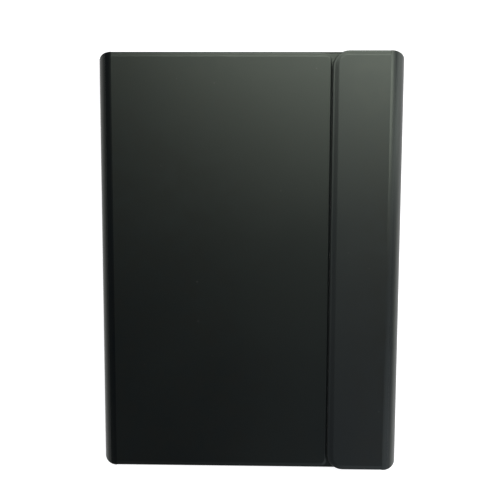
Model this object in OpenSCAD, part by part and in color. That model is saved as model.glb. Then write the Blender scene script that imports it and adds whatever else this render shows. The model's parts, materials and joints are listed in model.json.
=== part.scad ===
// Folio keyboard case for a tablet, closed and lying on its back.
// +X points to the flap's fold, +Y runs along the long side, +Z points up through the stack.
// The origin is the middle of the footprint, on the surface the case lies on.

/* [Tablet] */
// Long side of the tablet that the tray holds
tablet_long = 250.6; // [200:0.1:310]
// Short side of the tablet
tablet_short = 174.1; // [165:0.1:215]
// Thickness of the tablet
tablet_thick = 7.5; // [6:0.1:10]
// Clearance between the tablet and the tray, on every side
tablet_gap = 0.3; // [0.1:0.05:0.6]
// Corner radius of the tablet
tablet_corner = 8.5; // [4:0.5:14]

/* [Tray] */
// Wall thickness of the tray
tray_wall = 1.5; // [1:0.1:2.2]
// Floor thickness of the tray
tray_floor = 1.2; // [1:0.1:2]
// How far the lip reaches over the edge of the tablet
lip_reach = 1.2; // [0.6:0.1:2]
// Thickness of the lip
lip_thick = 0.8; // [0.5:0.1:1.2]
// Length of the camera window
camera_long = 34; // [20:1:44]
// Width of the camera window
camera_wide = 18; // [12:1:26]
// Distance from the tray's edges to the camera window
camera_inset = 8; // [6:0.5:14]
// Width of the slot for the tablet's charging plug
plug_slot = 16; // [12:1:24]

/* [Covers] */
// Thickness of the inner lining
lining_t = 0.5; // [0.3:0.1:0.8]
// Thickness of the stiffening boards
board_t = 1.2; // [1:0.1:2]
// Thickness of the outer skin
skin_t = 0.7; // [0.5:0.1:1]
// Thickness of the outer skin at the border, where it is turned over and pressed flat
pressed_t = 1.5; // [0.8:0.1:1.7]
// Width of the pressed border along the ends of the panels
border_w = 2.6; // [1.5:0.1:4]
// Width of the pressed border along the free edge of the flap
flap_border = 3.8; // [2:0.1:6]
// How far the covers reach past the tray at each end
end_room = 2.5; // [1:0.1:4]
// Space between the tray and the upright strips at either side
side_room = 2.25; // [1.2:0.05:4]
// How much further the flap and the back reach at each end than the front
flap_extra = 0.6; // [0:0.1:1.5]
// Outer radius of the two folds at the back
fold_r = 7; // [6:0.1:8.5]
// Outer radius of the fold between the spine and the front cover
cover_fold_r = 8.7; // [7:0.1:9.5]
// Outer radius of the flap's fold
flap_fold_r = 9.3; // [8:0.1:10]
// Corner radius of the covers
corner_r = 5; // [3:0.5:8]
// How far the rounding of the outer corners reaches in from each side
corner_reach = 9; // [5:0.5:12]
// Corner radius of the flap's free edge
flap_corner = 10; // [6:0.5:14]
// How far the flap reaches in from its fold
flap_reach = 44.1; // [34:0.1:60]
// Gap between the flap's free edge and the front's raised field
recess_gap = 0.4; // [0.3:0.1:2.5]
// Corner radius of the front's raised field beside the flap
field_corner = 3.5; // [1:0.5:6]
// Space between the flap and the recess that it lies in
flap_gap = 0.2; // [0.2:0.1:0.6]
// Space between the end of the front cover and the upright edge strip
front_end_gap = 3; // [2.6:0.1:5]

/* [Stand] */
// Distance of the stand's hinge from the middle of the back
stand_axis = 8; // [0:1:16]
// Width of the strip that anchors the spine to the tray
anchor_w = 13; // [10:0.5:20]
// Gap between the stand and the anchor strip
stand_slot = 1.5; // [0.8:0.1:3]
// Radius of the thumb notch in the free edge of the stand
thumb_r = 9; // [6:0.5:12]
// Outer radius of a hinge knuckle
knuckle_r = 1.1; // [0.9:0.05:1.15]
// Radius of a hinge pin
pin_r = 0.55; // [0.4:0.05:0.6]
// Radial clearance of a pin in its knuckles
pin_gap = 0.03; // [0.02:0.01:0.08]
// Length of one knuckle
knuckle_len = 7; // [5:0.5:10]
// Distance between the two hinges
hinge_span = 184; // [140:1:200]

/* [Keyboard] */
// How far the caps stand proud of the deck
cap_proud = 0.9; // [0.6:0.1:1.1]
// Height of a cap
cap_h = 2; // [1.8:0.1:2.2]
// Thickness of a cap's top
cap_top = 1; // [0.8:0.1:1.1]
// Wall thickness of a cap
cap_wall = 0.8; // [0.6:0.1:1]
// Travel of a key
key_travel = 1.3; // [0.8:0.1:2]
// Room left under a cap when it is pressed
press_room = 0.5; // [0.3:0.1:1]
// Gap between neighbouring caps
key_gap = 2.4; // [1.8:0.1:3]
// Clearance between a cap and its window
window_gap = 0.4; // [0.25:0.05:0.5]
// Depth of a cap in the letter rows
key_depth = 14.2; // [12:0.1:17.1]
// Depth of a cap in the function row
function_depth = 8.1; // [7:0.1:9]
// Margin between the keyboard's edge and the key field
field_margin = 5.5; // [4.5:0.1:7]
// Thickness of the deck around the keys
deck_t = 1; // [0.8:0.1:1.2]
// Thickness of the keyboard's base
base_t = 0.8; // [0.7:0.1:1.1]
// Wall thickness of the keyboard's base
base_wall = 1.4; // [1:0.1:2]
// Width of the touchpad
touchpad_w = 100; // [80:1:120]
// Distance from the touchpad to the keyboard's front edge
touchpad_margin = 5; // [3:0.5:10]

/* [Hidden] */
$fn = 64;
eps = 0.01;
glue_t = 0.2;            // every adhesive sheet
closing_gap = 0.5;       // air between the tray's lip and the caps
plate_t = 0.4;
membrane_t = 0.4;
fit = 0.1;               // radial clearance of a magnet in its board
panel_t = lining_t + board_t + skin_t;
crease_t = lining_t + skin_t;
press_depth = board_t + skin_t - pressed_t;

// Heights, from the table up
tray_z = panel_t + glue_t;
bay_z = tray_z + tray_floor;
lip_z = bay_z + tablet_thick + tablet_gap / 2;
tray_top = lip_z + lip_thick;
caps_z = tray_top + closing_gap;
deck_z = caps_z + cap_proud;
membrane_z = caps_z + cap_h + key_travel + press_room;
plate_z = membrane_z + membrane_t;
floor_z = plate_z + plate_t;
base_back = floor_z + base_t;
front_z = base_back + glue_t;
front_top = front_z + panel_t;
flap_z = front_top - press_depth + flap_gap;
flap_top = flap_z + panel_t;

// Widths along X
bay_w = tablet_short + 2 * tablet_gap;
tray_w = bay_w + 2 * tray_wall;
half_w = tray_w / 2 + side_room + panel_t;
fold_x = half_w - fold_r;
cover_fold_x = half_w - cover_fold_r;
flap_fold_x = half_w - flap_fold_r;
front_end = half_w - panel_t - front_end_gap;
flap_free = half_w - flap_reach;
recess_x = flap_free - recess_gap;
anchor_end = -fold_x + anchor_w;
hinge_clear = 2.3;       // from the stand's axis to each panel, so that the stand opens past square
stand_free = anchor_end + stand_slot;
stand_end = stand_axis - hinge_clear;
back_start = stand_axis + hinge_clear;

// Lengths along Y
bay_l = tablet_long + 2 * tablet_gap;
tray_l = bay_l + 2 * tray_wall;
front_l = tray_l + 2 * end_room;
back_l = front_l + 2 * flap_extra;
tray_corner = tablet_corner + tray_wall;

// Keyboard
kb_x0 = -cover_fold_x + 2;
kb_x1 = front_end - 2;
kb_l = front_l - 9;
kb_corner = 6;
deck_back = deck_z + deck_t;
cap_under = caps_z + cap_top;
columns = 14;
pitch = (kb_l - 2 * field_margin) / columns;
row_pitch = key_depth + key_gap + 0.2;
function_x = kb_x0 + 6.5;
first_row_x = function_x + function_depth + key_gap;
palm_x = first_row_x + 5 * row_pitch + 6.5;

// Widths of the keys in each row, in key units, from the user's left
units = [
    [for (i = [1:14]) 1],
    concat([0.7], [for (i = [1:12]) 1], [1.3]),
    concat([1.2], [for (i = [1:12]) 1], [0.8]),
    concat([1.45], [for (i = [1:11]) 1], [1.55]),
    concat([1.95], [for (i = [1:10]) 1], [2.05]),
    [1, 1, 1, 1, 5, 1, 1, 1, 1, 1]
];
arrow_column = 8;        // the bottom row's column that holds the up and down keys

// ---------- Outlines and slabs ----------

// Removes what lies outside a quarter circle from one corner
module corner_cut(x, y, sx, sy, r) {
    translate([x - sx * r, y - sy * r])
        difference() {
            translate([sx > 0 ? 0 : -r - 1, sy > 0 ? 0 : -r - 1]) square(r + 1);
            circle(r);
        }
}

// Rectangle from x0 to x1 and len long, with radius r0 on its corners at x0 and r1 at x1
module outline(x0, x1, len, r0, r1) {
    difference() {
        translate([x0, -len / 2]) square([x1 - x0, len]);
        for (s = [-1, 1]) {
            if (r0 > 0) corner_cut(x0, s * len / 2, -1, s, r0);
            if (r1 > 0) corner_cut(x1, s * len / 2, 1, s, r1);
        }
    }
}

module slab(x0, x1, len, r0, r1, z, h) {
    translate([0, 0, z]) linear_extrude(h) outline(x0, x1, len, r0, r1);
}

// Rectangle of w by d round the origin, as points. Its corners are quarters of an ellipse with the
// radii rx and ry, each in so many steps
function rounded_box(w, d, rx, ry, steps) = [
    for (q = [0:3], i = [0:steps])
        let (a = 90 * q + 90 * i / steps,
            sx = q == 0 || q == 3 ? 1 : -1,
            sy = q < 2 ? 1 : -1)
        [sx * (w / 2 - rx) + rx * cos(a), sy * (d / 2 - ry) + ry * sin(a)]
];

// The same with round corners of radius r, in the few steps that small ones need
function small_box(w, d, r) = rounded_box(w, d, r, r, 3);

function inset_r(r, by) = r > 0 ? max(r - by, 0.5) : 0;

// A panel is a list: x0, x1, length, corner radius at x0 and at x1, pressed border at x0, at x1 and
// at the ends, and the raised field's corner radius at x0 and at x1

// The board's space in a panel
module board_slab(p, z, h) {
    slab(p[0] + p[5] + skin_t, p[1] - p[6] - skin_t, p[2] - 2 * (p[7] + skin_t),
        inset_r(p[8], skin_t), inset_r(p[9], skin_t), z, h);
}

// An outer skin over its board, with the lining's side at z = 0 and the outside up
module panel_skin(p) {
    difference() {
        union() {
            slab(p[0], p[1], p[2], p[3], p[4], lining_t, pressed_t);
            slab(p[0] + p[5], p[1] - p[6], p[2] - 2 * p[7], p[8], p[9], lining_t, board_t + skin_t);
        }
        board_slab(p, lining_t - eps, board_t + eps);
    }
}

module panel_board(p) {
    board_slab(p, lining_t, board_t);
}

module panel_lining(p) {
    slab(p[0], p[1], p[2], p[3], p[4], 0, lining_t);
}

// Turns a panel so that its outside faces the table
module face_down() {
    translate([0, 0, panel_t]) mirror([0, 0, 1]) children();
}

front_panel = [-cover_fold_x, front_end, front_l, 0, corner_r,
    0, front_end - recess_x, border_w, 0, field_corner];
flap_panel = [flap_free, flap_fold_x, back_l, flap_corner, 0,
    flap_border, 0, border_w, inset_r(flap_corner, flap_border), 0];
back_panel = [back_start, fold_x, back_l, 0, 0, 0, 0, border_w, 0, 0];
stand_panel = [stand_free, stand_end, back_l, corner_r, 0,
    border_w, 0, border_w, inset_r(corner_r, border_w), 0];

// ---------- Creases and upright strips ----------

// Rounds the four corners of whatever stands in the footprint
module rounded_footprint(len) {
    intersection() {
        children();
        translate([0, 0, -1]) linear_extrude(flap_top + 2)
            polygon(rounded_box(2 * half_w, len, corner_reach, corner_r, 12));
    }
}

// Quarter ring along Y: centre [x, z], outer radius r, turned by a
module crease(x, z, r, a, len) {
    rounded_footprint(len)
        translate([x, 0, z]) rotate([90, a, 0])
            linear_extrude(len, center = true)
                intersection() {
                    difference() {
                        circle(r);
                        circle(r - crease_t);
                    }
                    square(r + 1);
                }
}

// Upright slab against the outside at side s, from depth d0 to d1 under the surface
module upright(s, d0, d1, z0, z1, len) {
    x = s > 0 ? half_w - d1 : -half_w + d0;
    translate([x, -len / 2, z0]) cube([d1 - d0, len, z1 - z0]);
}

sleeve_end = 8;          // how far a strip's board stops short of the ends

module strip_skin(s, z0, z1, len) {
    rounded_footprint(len)
        difference() {
            upright(s, 0, panel_t, z0, z1, len);
            upright(s, skin_t, skin_t + board_t, z0 - eps, z1 + eps, len - 2 * sleeve_end);
        }
}

module strip_board(s, z0, z1, len) {
    upright(s, skin_t, skin_t + board_t, z0, z1, len - 2 * sleeve_end);
}

spine_z0 = fold_r;
spine_z1 = front_top - cover_fold_r;
edge_z1 = flap_top - flap_fold_r;

module spine_skin() { color("#1d1f1e") strip_skin(-1, spine_z0, spine_z1, front_l); }
module spine_board() { color("#6b5b48") strip_board(-1, spine_z0, spine_z1, front_l); }
module edge_skin() { color("#1d1f1e") strip_skin(1, fold_r, edge_z1, back_l); }
module edge_board() { color("#6b5b48") strip_board(1, fold_r, edge_z1, back_l); }
module spine_back_crease() { color("#191b1a") crease(-fold_x, fold_r, fold_r, 180, front_l); }
module spine_front_crease() { color("#191b1a") crease(-cover_fold_x, spine_z1, cover_fold_r, 270, front_l); }
module edge_back_crease() { color("#191b1a") crease(fold_x, fold_r, fold_r, 90, back_l); }
module edge_flap_crease() { color("#191b1a") crease(flap_fold_x, edge_z1, flap_fold_r, 0, back_l); }

// ---------- Magnets ----------

magnet_r = 4;
flap_magnet_x = flap_free + 17;
flap_magnet_y = [-100, -60, -20, 20, 60, 100];
stand_magnet_x = stand_free + 11;
stand_magnet_y = [-66, -22, 22, 66];

module discs(x, ys, r, z, h) {
    for (y = ys) translate([x, y, z]) cylinder(r = r, h = h);
}

// ---------- Front cover ----------

closing_t = pressed_t / 2;

// The steel strip under the recess, which the flap's magnets hold on to
module closing_strip(t) {
    translate([recess_x + 8, -front_l / 2 + 20, front_z + lining_t])
        cube([front_end - recess_x - 16, front_l - 40, t]);
}

module front_skin() {
    color("#1d1f1e")
        difference() {
            translate([0, 0, front_z]) panel_skin(front_panel);
            translate([0, 0, -eps]) closing_strip(closing_t + eps);
        }
}

module front_board() {
    color("#6b5b48") translate([0, 0, front_z]) panel_board(front_panel);
}

module front_lining() {
    color("#303234") translate([0, 0, front_z]) panel_lining(front_panel);
}

module closing_plate() {
    color("#b9bcc0") closing_strip(closing_t);
}

// ---------- Flap ----------

module flap_skin() {
    color("#1d1f1e") translate([0, 0, flap_z]) panel_skin(flap_panel);
}

module flap_board() {
    color("#6b5b48") translate([0, 0, flap_z])
        difference() {
            panel_board(flap_panel);
            discs(flap_magnet_x, flap_magnet_y, magnet_r + fit, 0, panel_t);
        }
}

module flap_lining() {
    color("#303234") translate([0, 0, flap_z]) panel_lining(flap_panel);
}

module flap_magnets() {
    color("#b9bcc0") translate([0, 0, flap_z + lining_t])
        discs(flap_magnet_x, flap_magnet_y, magnet_r, 0, board_t);
}

// ---------- Tray ----------

camera_x1 = tray_w / 2 - camera_inset;
camera_y1 = tray_l / 2 - camera_inset;
camera_mid = [camera_x1 - camera_wide / 2, camera_y1 - camera_long / 2];
trim_t = 1;

// The camera window, grown by g on every side
module camera_hole(g, z, h) {
    translate([camera_mid[0], camera_mid[1], z])
        linear_extrude(h)
            outline(-camera_wide / 2 - g, camera_wide / 2 + g, camera_long + 2 * g, 6 + g, 6 + g);
}

slot_h = 5;
slot_z = bay_z + (tablet_thick - slot_h) / 2;
speaker_w = 22;
speaker_h = 2.2;
speaker_x = 52;
keeper_t = 0.6;
keeper_r = 5;

// A cut through one end wall of the tray
module end_cut(s, x, w, z, h) {
    translate([x - w / 2, s > 0 ? bay_l / 2 - 1 : -tray_l / 2 - 1, z])
        cube([w, tray_wall + 2, h]);
}

module tablet_tray() {
    color("#26282a")
        difference() {
            slab(-tray_w / 2, tray_w / 2, tray_l, tray_corner, tray_corner, tray_z, tray_top - tray_z);
            slab(-bay_w / 2, bay_w / 2, bay_l, tablet_corner, tablet_corner, bay_z, lip_z - bay_z);
            slab(-bay_w / 2 + lip_reach, bay_w / 2 - lip_reach, bay_l - 2 * lip_reach,
                inset_r(tablet_corner, lip_reach), inset_r(tablet_corner, lip_reach),
                lip_z - eps, lip_thick + 1);
            camera_hole(0, tray_z - 1, tray_floor + 2);
            end_cut(-1, 0, plug_slot, slot_z, slot_h);
            for (s = [-1, 1], t = [-1, 1])
                end_cut(s, t * speaker_x, speaker_w, bay_z + tablet_thick / 2 - speaker_h / 2, speaker_h);
            discs(stand_magnet_x, stand_magnet_y, keeper_r + fit, tray_z - 1, keeper_t + 1);
        }
}

module stand_keepers() {
    color("#9a9da1") discs(stand_magnet_x, stand_magnet_y, keeper_r, tray_z, keeper_t);
}

module tray_adhesive() {
    color("#d8d4c4")
        difference() {
            union() {
                slab(back_start + 4, fold_x - 4, back_l - 20, 3, 3, panel_t, glue_t);
                slab(-fold_x + 1, anchor_end - 1, back_l - 20, 1, 1, panel_t, glue_t);
            }
            camera_hole(trim_t + 1, 0, tray_z + 1);
        }
}

module camera_trim() {
    color("#101112")
        difference() {
            camera_hole(trim_t, 0, panel_t);
            camera_hole(0, -1, panel_t + 2);
        }
}

// ---------- Stand hinges ----------

leaf_t = 0.5;
leaf_depth = 9;
knuckles = 5;
knuckle_space = 0.2;
hinge_z = panel_t / 2;
hinge_len = knuckles * knuckle_len;

function knuckle_y(i) = -hinge_len / 2 + i * knuckle_len;

// One leaf of one hinge on side s, with its own knuckles: odd ones or even ones
module leaf(s, first) {
    difference() {
        union() {
            for (i = [first:2:knuckles - 1])
                translate([0, knuckle_y(i) + knuckle_space / 2, 0]) {
                    rotate([-90, 0, 0]) cylinder(r = knuckle_r, h = knuckle_len - knuckle_space);
                    translate([s > 0 ? 0 : -hinge_clear, 0, -leaf_t / 2])
                        cube([hinge_clear, knuckle_len - knuckle_space, leaf_t]);
                }
            leaf_plate(s);
        }
        translate([0, -hinge_len, 0]) rotate([-90, 0, 0])
            cylinder(r = pin_r + pin_gap, h = 2 * hinge_len);
    }
}

module leaf_plate(s) {
    translate([s > 0 ? hinge_clear : -hinge_clear - leaf_depth, -hinge_len / 2, -leaf_t / 2])
        cube([leaf_depth, hinge_len, leaf_t]);
}

module at_hinges() {
    for (s = [-1, 1]) translate([stand_axis, s * hinge_span / 2, hinge_z]) children();
}

module back_hinge_leaves() { color("#a6a9ad") at_hinges() leaf(1, 0); }
module stand_hinge_leaves() { color("#a6a9ad") at_hinges() leaf(-1, 1); }

module stand_hinge_pins() {
    color("#c4c7ca") at_hinges()
        translate([0, -hinge_len / 2, 0]) rotate([-90, 0, 0]) cylinder(r = pin_r, h = hinge_len);
}

// ---------- Back and stand ----------

module back_skin() {
    color("#1d1f1e")
        difference() {
            face_down() panel_skin(back_panel);
            camera_hole(trim_t, -1, panel_t + 2);
            at_hinges() leaf_plate(1);
        }
}

module back_board() {
    color("#6b5b48")
        difference() {
            face_down() panel_board(back_panel);
            camera_hole(trim_t, -1, panel_t + 2);
            at_hinges() leaf_plate(1);
        }
}

module back_lining() {
    color("#303234")
        difference() {
            face_down() panel_lining(back_panel);
            camera_hole(trim_t, -1, panel_t + 2);
        }
}

module anchor_strip() {
    color("#1d1f1e")
        rounded_footprint(front_l)
            slab(-fold_x, anchor_end, front_l, 0, 1, 0, panel_t);
}

module thumb_notch() {
    translate([stand_free, 0, -1]) cylinder(r = thumb_r, h = panel_t + 2);
}

module stand_skin() {
    color("#1d1f1e")
        difference() {
            face_down() panel_skin(stand_panel);
            thumb_notch();
            at_hinges() leaf_plate(-1);
        }
}

module stand_board() {
    color("#6b5b48")
        difference() {
            face_down() panel_board(stand_panel);
            thumb_notch();
            at_hinges() leaf_plate(-1);
            discs(stand_magnet_x, stand_magnet_y, magnet_r + fit, 0, panel_t);
        }
}

module stand_lining() {
    color("#303234")
        difference() {
            face_down() panel_lining(stand_panel);
            thumb_notch();
        }
}

module stand_magnets() {
    color("#b9bcc0") discs(stand_magnet_x, stand_magnet_y, magnet_r, skin_t, board_t);
}

// ---------- Key layout ----------

function sum_to(list, n) = n <= 0 ? 0 : list[n - 1] + sum_to(list, n - 1);
function row_x(row) = row == 0 ? function_x : first_row_x + (row - 1) * row_pitch;
function row_depth(row) = row == 0 ? function_depth : key_depth;

// One column's cap as [x, y, size along X, size along Y]. Part 0 is a whole cap, and 1 and 2 are
// the halves of a split one
function key_box(row, col, part) =
    let (w = units[row][col] * pitch - key_gap,
        y = (columns / 2 - sum_to(units[row], col) - units[row][col] / 2) * pitch,
        half = (row_depth(row) - split_gap) / 2)
    part == 0 ? [row_x(row) + row_depth(row) / 2, y, row_depth(row), w]
    : [row_x(row) + (part == 1 ? half / 2 : row_depth(row) - half / 2), y, half, w];

split_gap = 1;
function is_split(row, col) = row == 5 && col == arrow_column;

// Every cap in the columns from first to last of a row
function keys_in(row, first, last) = [
    for (col = [first:last], part = is_split(row, col) ? [1, 2] : [0]) key_box(row, col, part)
];

all_keys = [for (row = [0:5]) each keys_in(row, 0, len(units[row]) - 1)];

// ---------- Caps ----------

cap_r = 1;

module cap(k) {
    translate([k[0], k[1], caps_z])
        difference() {
            linear_extrude(cap_h) polygon(small_box(k[2], k[3], cap_r));
            translate([-k[2] / 2 + cap_wall, -k[3] / 2 + cap_wall, cap_top])
                cube([k[2] - 2 * cap_wall, k[3] - 2 * cap_wall, cap_h]);
        }
}

module caps(row, first, last) {
    color("#17181a") for (k = keys_in(row, first, last)) cap(k);
}

// ---------- Key mechanism ----------

bar = 0.8;               // width of a scissor frame's bars
bar_t = 0.5;             // and their thickness
frame_w = 10.4;
link_share = 0.58;       // length of a scissor frame as a share of its cap's depth
nest_gap = 0.15;
link_mid = (cap_under + membrane_z) / 2;
link_rise = membrane_z - cap_under - bar_t - 0.3;

function link_len(k) = k[2] * link_share;
function link_w(k) = min(frame_w, k[3] - 2 * cap_wall - 1);
function dome_r(k) = min(2.6, link_len(k) / 2 - bar - 0.4, link_w(k) / 2 - 2 * bar - nest_gap - 0.2);

module scissor_frame(len, w) {
    difference() {
        cube([len, w, bar_t], center = true);
        cube([len - 2 * bar, w - 2 * bar, 2 * bar_t], center = true);
    }
}

module scissor(k) {
    tilt = asin(link_rise / link_len(k));
    w = link_w(k);
    translate([k[0], k[1], link_mid]) {
        rotate([0, tilt, 0]) scissor_frame(link_len(k), w);
        rotate([0, -tilt, 0]) scissor_frame(link_len(k), w - 2 * bar - 2 * nest_gap);
    }
}

module scissor_links() { color("#d9d9d4") for (k = all_keys) scissor(k); }

module rubber_domes() {
    color("#cfcfc8") for (k = all_keys)
        translate([k[0], k[1], cap_under + fit])
            cylinder(r1 = dome_r(k) * 0.5, r2 = dome_r(k), h = membrane_z - cap_under - fit);
}

module key_sheet(z, h) {
    translate([0, 0, z]) linear_extrude(h)
        outline(function_x - 2.5, palm_x - 6, kb_l - 2 * field_margin - 1, 2, 2);
}

module support_plate() { color("#8e9195") key_sheet(plate_z, plate_t); }
module membrane_sheet() { color("#3f4a3f") key_sheet(membrane_z, membrane_t); }

// ---------- Keyboard housing ----------

touchpad_t = 1.2;
touchpad_gap = 0.3;
touchpad_x = palm_x + 1.5;
touchpad_d = kb_x1 - touchpad_margin - touchpad_x;
side_y = -kb_l / 2;                     // the side with the port and the switch
port_x = touchpad_x + 16;
port_w = 7.6;
port_h = 2.5;
port_d = 5.6;
switch_x = touchpad_x + 34;
switch_travel = 3;
nub_w = 2.4;
nub_h = 1.3;
nub_out = 0.7;
inner_mid = (deck_back + floor_z) / 2;
light_r = 0.6;
lights_x = [0, 4.5, 9];
light_y = side_y + 8;
boss_r = 1.6;
screw_r = 0.7;
head_r = 1.4;
head_h = 0.5;
screw_len = 2.6;
screw_inset = 4.2;
screw_y = kb_l / 2 - screw_inset;
screws_x = [kb_x0 + screw_inset, first_row_x + 1.5 * row_pitch, palm_x - 3, kb_x1 - screw_inset];

module kb_slab(g, z, h) {
    slab(kb_x0 + g, kb_x1 - g, kb_l - 2 * g, kb_corner - g, kb_corner - g, z, h);
}

module at_screws() {
    for (x = screws_x, s = [-1, 1]) translate([x, s * screw_y, 0]) children();
}

// A round or square hole through the deck for each thing that shows in it
module deck_windows() {
    for (k = all_keys)
        translate([k[0], k[1]])
            polygon(small_box(k[2] + 2 * window_gap, k[3] + 2 * window_gap, cap_r + window_gap));
    translate([touchpad_x + touchpad_d / 2, 0])
        polygon(small_box(touchpad_d + 2 * touchpad_gap, touchpad_w + 2 * touchpad_gap, 2));
    for (x = lights_x) translate([touchpad_x + x, light_y]) circle(light_r);
}

module keyboard_deck() {
    color("#232527") {
        translate([0, 0, deck_z])
            linear_extrude(deck_t)
                difference() {
                    outline(kb_x0, kb_x1, kb_l, kb_corner, kb_corner);
                    deck_windows();
                }
        at_screws()
            difference() {
                translate([0, 0, deck_back - eps]) cylinder(r = boss_r, h = floor_z - deck_back + eps);
                translate([0, 0, base_back - screw_len]) cylinder(r = screw_r, h = screw_len);
            }
    }
}

module keyboard_base() {
    color("#2a2c2f")
        difference() {
            kb_slab(0, deck_back, base_back - deck_back);
            kb_slab(base_wall, deck_back - 1, floor_z - deck_back + 1);
            at_screws() {
                translate([0, 0, floor_z - 1]) cylinder(r = screw_r, h = base_t + 2);
                translate([0, 0, base_back - head_h]) cylinder(r = head_r, h = head_h + 1);
            }
            translate([port_x, side_y, inner_mid])
                cube([port_w, 4 * base_wall, port_h], center = true);
            translate([switch_x + switch_travel / 2, side_y, inner_mid])
                cube([nub_w + switch_travel + 0.6, 4 * base_wall, nub_h + 0.4], center = true);
        }
}

module keyboard_screws() {
    color("#777a7e") at_screws() {
        translate([0, 0, base_back - screw_len]) cylinder(r = screw_r, h = screw_len - head_h);
        translate([0, 0, base_back - head_h]) cylinder(r = head_r, h = head_h);
    }
}

module keyboard_adhesive() {
    color("#d8d4c4") kb_slab(6, base_back, glue_t);
}

module touchpad() {
    color("#1b1c1e")
        translate([touchpad_x + touchpad_d / 2, 0, deck_z]) linear_extrude(touchpad_t)
            polygon(small_box(touchpad_d, touchpad_w, 1.7));
}

// A nub outside the wall, a neck through it and a tongue inside that keeps it in
module power_switch() {
    color("#8b8e92")
        translate([switch_x, side_y, inner_mid]) {
            translate([0, (base_wall - nub_out) / 2 + 0.2, 0])
                cube([nub_w, base_wall + nub_out + 0.4, nub_h], center = true);
            translate([0, base_wall + 0.8, 0]) cube([nub_w + 2, 1, nub_h + 0.9], center = true);
        }
}

module charging_port() {
    color("#b4b7bb")
        translate([port_x, side_y + port_d / 2 + 0.2, inner_mid])
            difference() {
                cube([port_w, port_d, port_h], center = true);
                translate([0, -1, 0]) cube([port_w - 0.7, port_d, port_h - 0.7], center = true);
            }
}

board_y = side_y + 0.2 + port_d;        // the board starts where the port ends
board_len = 54;
circuit_t = 0.6;
switch_body_y = side_y + base_wall + 1.6;

module controller_board() {
    color("#1f5a38") {
        translate([touchpad_x - 1, board_y, floor_z - circuit_t])
            cube([touchpad_d - 2, board_len, circuit_t]);
        translate([touchpad_x + 16, board_y + 24, floor_z - 1.8]) cube([9, 9, 1.2 + eps]);
        translate([touchpad_x + 36, board_y + 30, floor_z - 1.6]) cube([6, 6, 1 + eps]);
        translate([switch_x - 2, switch_body_y, floor_z - 1.8])
            cube([7, board_y - switch_body_y + eps, 1.8]);
    }
}

battery_t = 2.2;

module battery() {
    color("#c9ccd0")
        translate([touchpad_x, touchpad_w / 2 + 6, floor_z - battery_t])
            cube([touchpad_d - 4, kb_l / 2 - touchpad_w / 2 - 14, battery_t]);
}

module indicator_lights() {
    color("#cfe8d8")
        for (x = lights_x)
            translate([touchpad_x + x, light_y, deck_z]) cylinder(r = light_r, h = deck_t);
}

bumper_r = 2;
bumper_h = deck_z - bay_z - tablet_thick - 0.3;  // just clear of the tablet's glass

module screen_bumpers() {
    color("#2f3133")
        for (x = [kb_x0 + 3.6, palm_x - 1, kb_x1 - 3.6], s = [-1, 1])
            translate([x, s * (kb_l / 2 - 9 + (x == palm_x - 1 ? 5.5 : 0)), deck_z - bumper_h])
                cylinder(r = bumper_r, h = bumper_h);
}

// ---------- Assembly ----------

back_skin();
back_board();
back_lining();
anchor_strip();
tray_adhesive();
tablet_tray();
camera_trim();
stand_keepers();
back_hinge_leaves();
stand_hinge_pins();
stand_skin();
stand_board();
stand_lining();
stand_magnets();
stand_hinge_leaves();
spine_board();
spine_skin();
spine_back_crease();
spine_front_crease();
front_skin();
front_board();
front_lining();
closing_plate();
keyboard_adhesive();
keyboard_base();
keyboard_deck();
support_plate();
membrane_sheet();
rubber_domes();
scissor_links();
controller_board();
battery();
charging_port();
indicator_lights();
screen_bumpers();
keyboard_screws();
touchpad();
power_switch();
caps(0, 0, 13);  // function_keys
caps(1, 0, 12);  // number_keys
caps(1, 13, 13);  // backspace_key
caps(2, 0, 0);  // tab_key
caps(2, 1, 13);  // upper_letter_keys
caps(3, 0, 0);  // caps_lock_key
caps(3, 1, 11);  // home_letter_keys
caps(3, 12, 12);  // enter_key
caps(4, 0, 0);  // left_shift_key
caps(4, 1, 10);  // lower_letter_keys
caps(4, 11, 11);  // right_shift_key
union() {  // modifier_keys
    caps(5, 0, 3);
    caps(5, 5, 6);
}
caps(5, 4, 4);  // space_bar
caps(5, 7, 9);  // arrow_keys
edge_board();
edge_skin();
edge_back_crease();
edge_flap_crease();
flap_skin();
flap_board();
flap_lining();
flap_magnets();
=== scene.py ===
# %% [markdown]
# # A keyboard folio for a tablet
# The object is a black soft-touch folio, closed and lying on its back. The front cover and the
# back are joined by an upright spine on the left. On the right a second upright strip carries a
# flap that folds over the front cover and holds it shut. Inside lie a tray for the tablet and a
# thin keyboard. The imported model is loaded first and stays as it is: every new piece is made
# around it.

# %% Load the frame
import json
from math import asin, pi, radians

import bmesh
import bpy
from mathutils import Matrix, Vector


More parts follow.
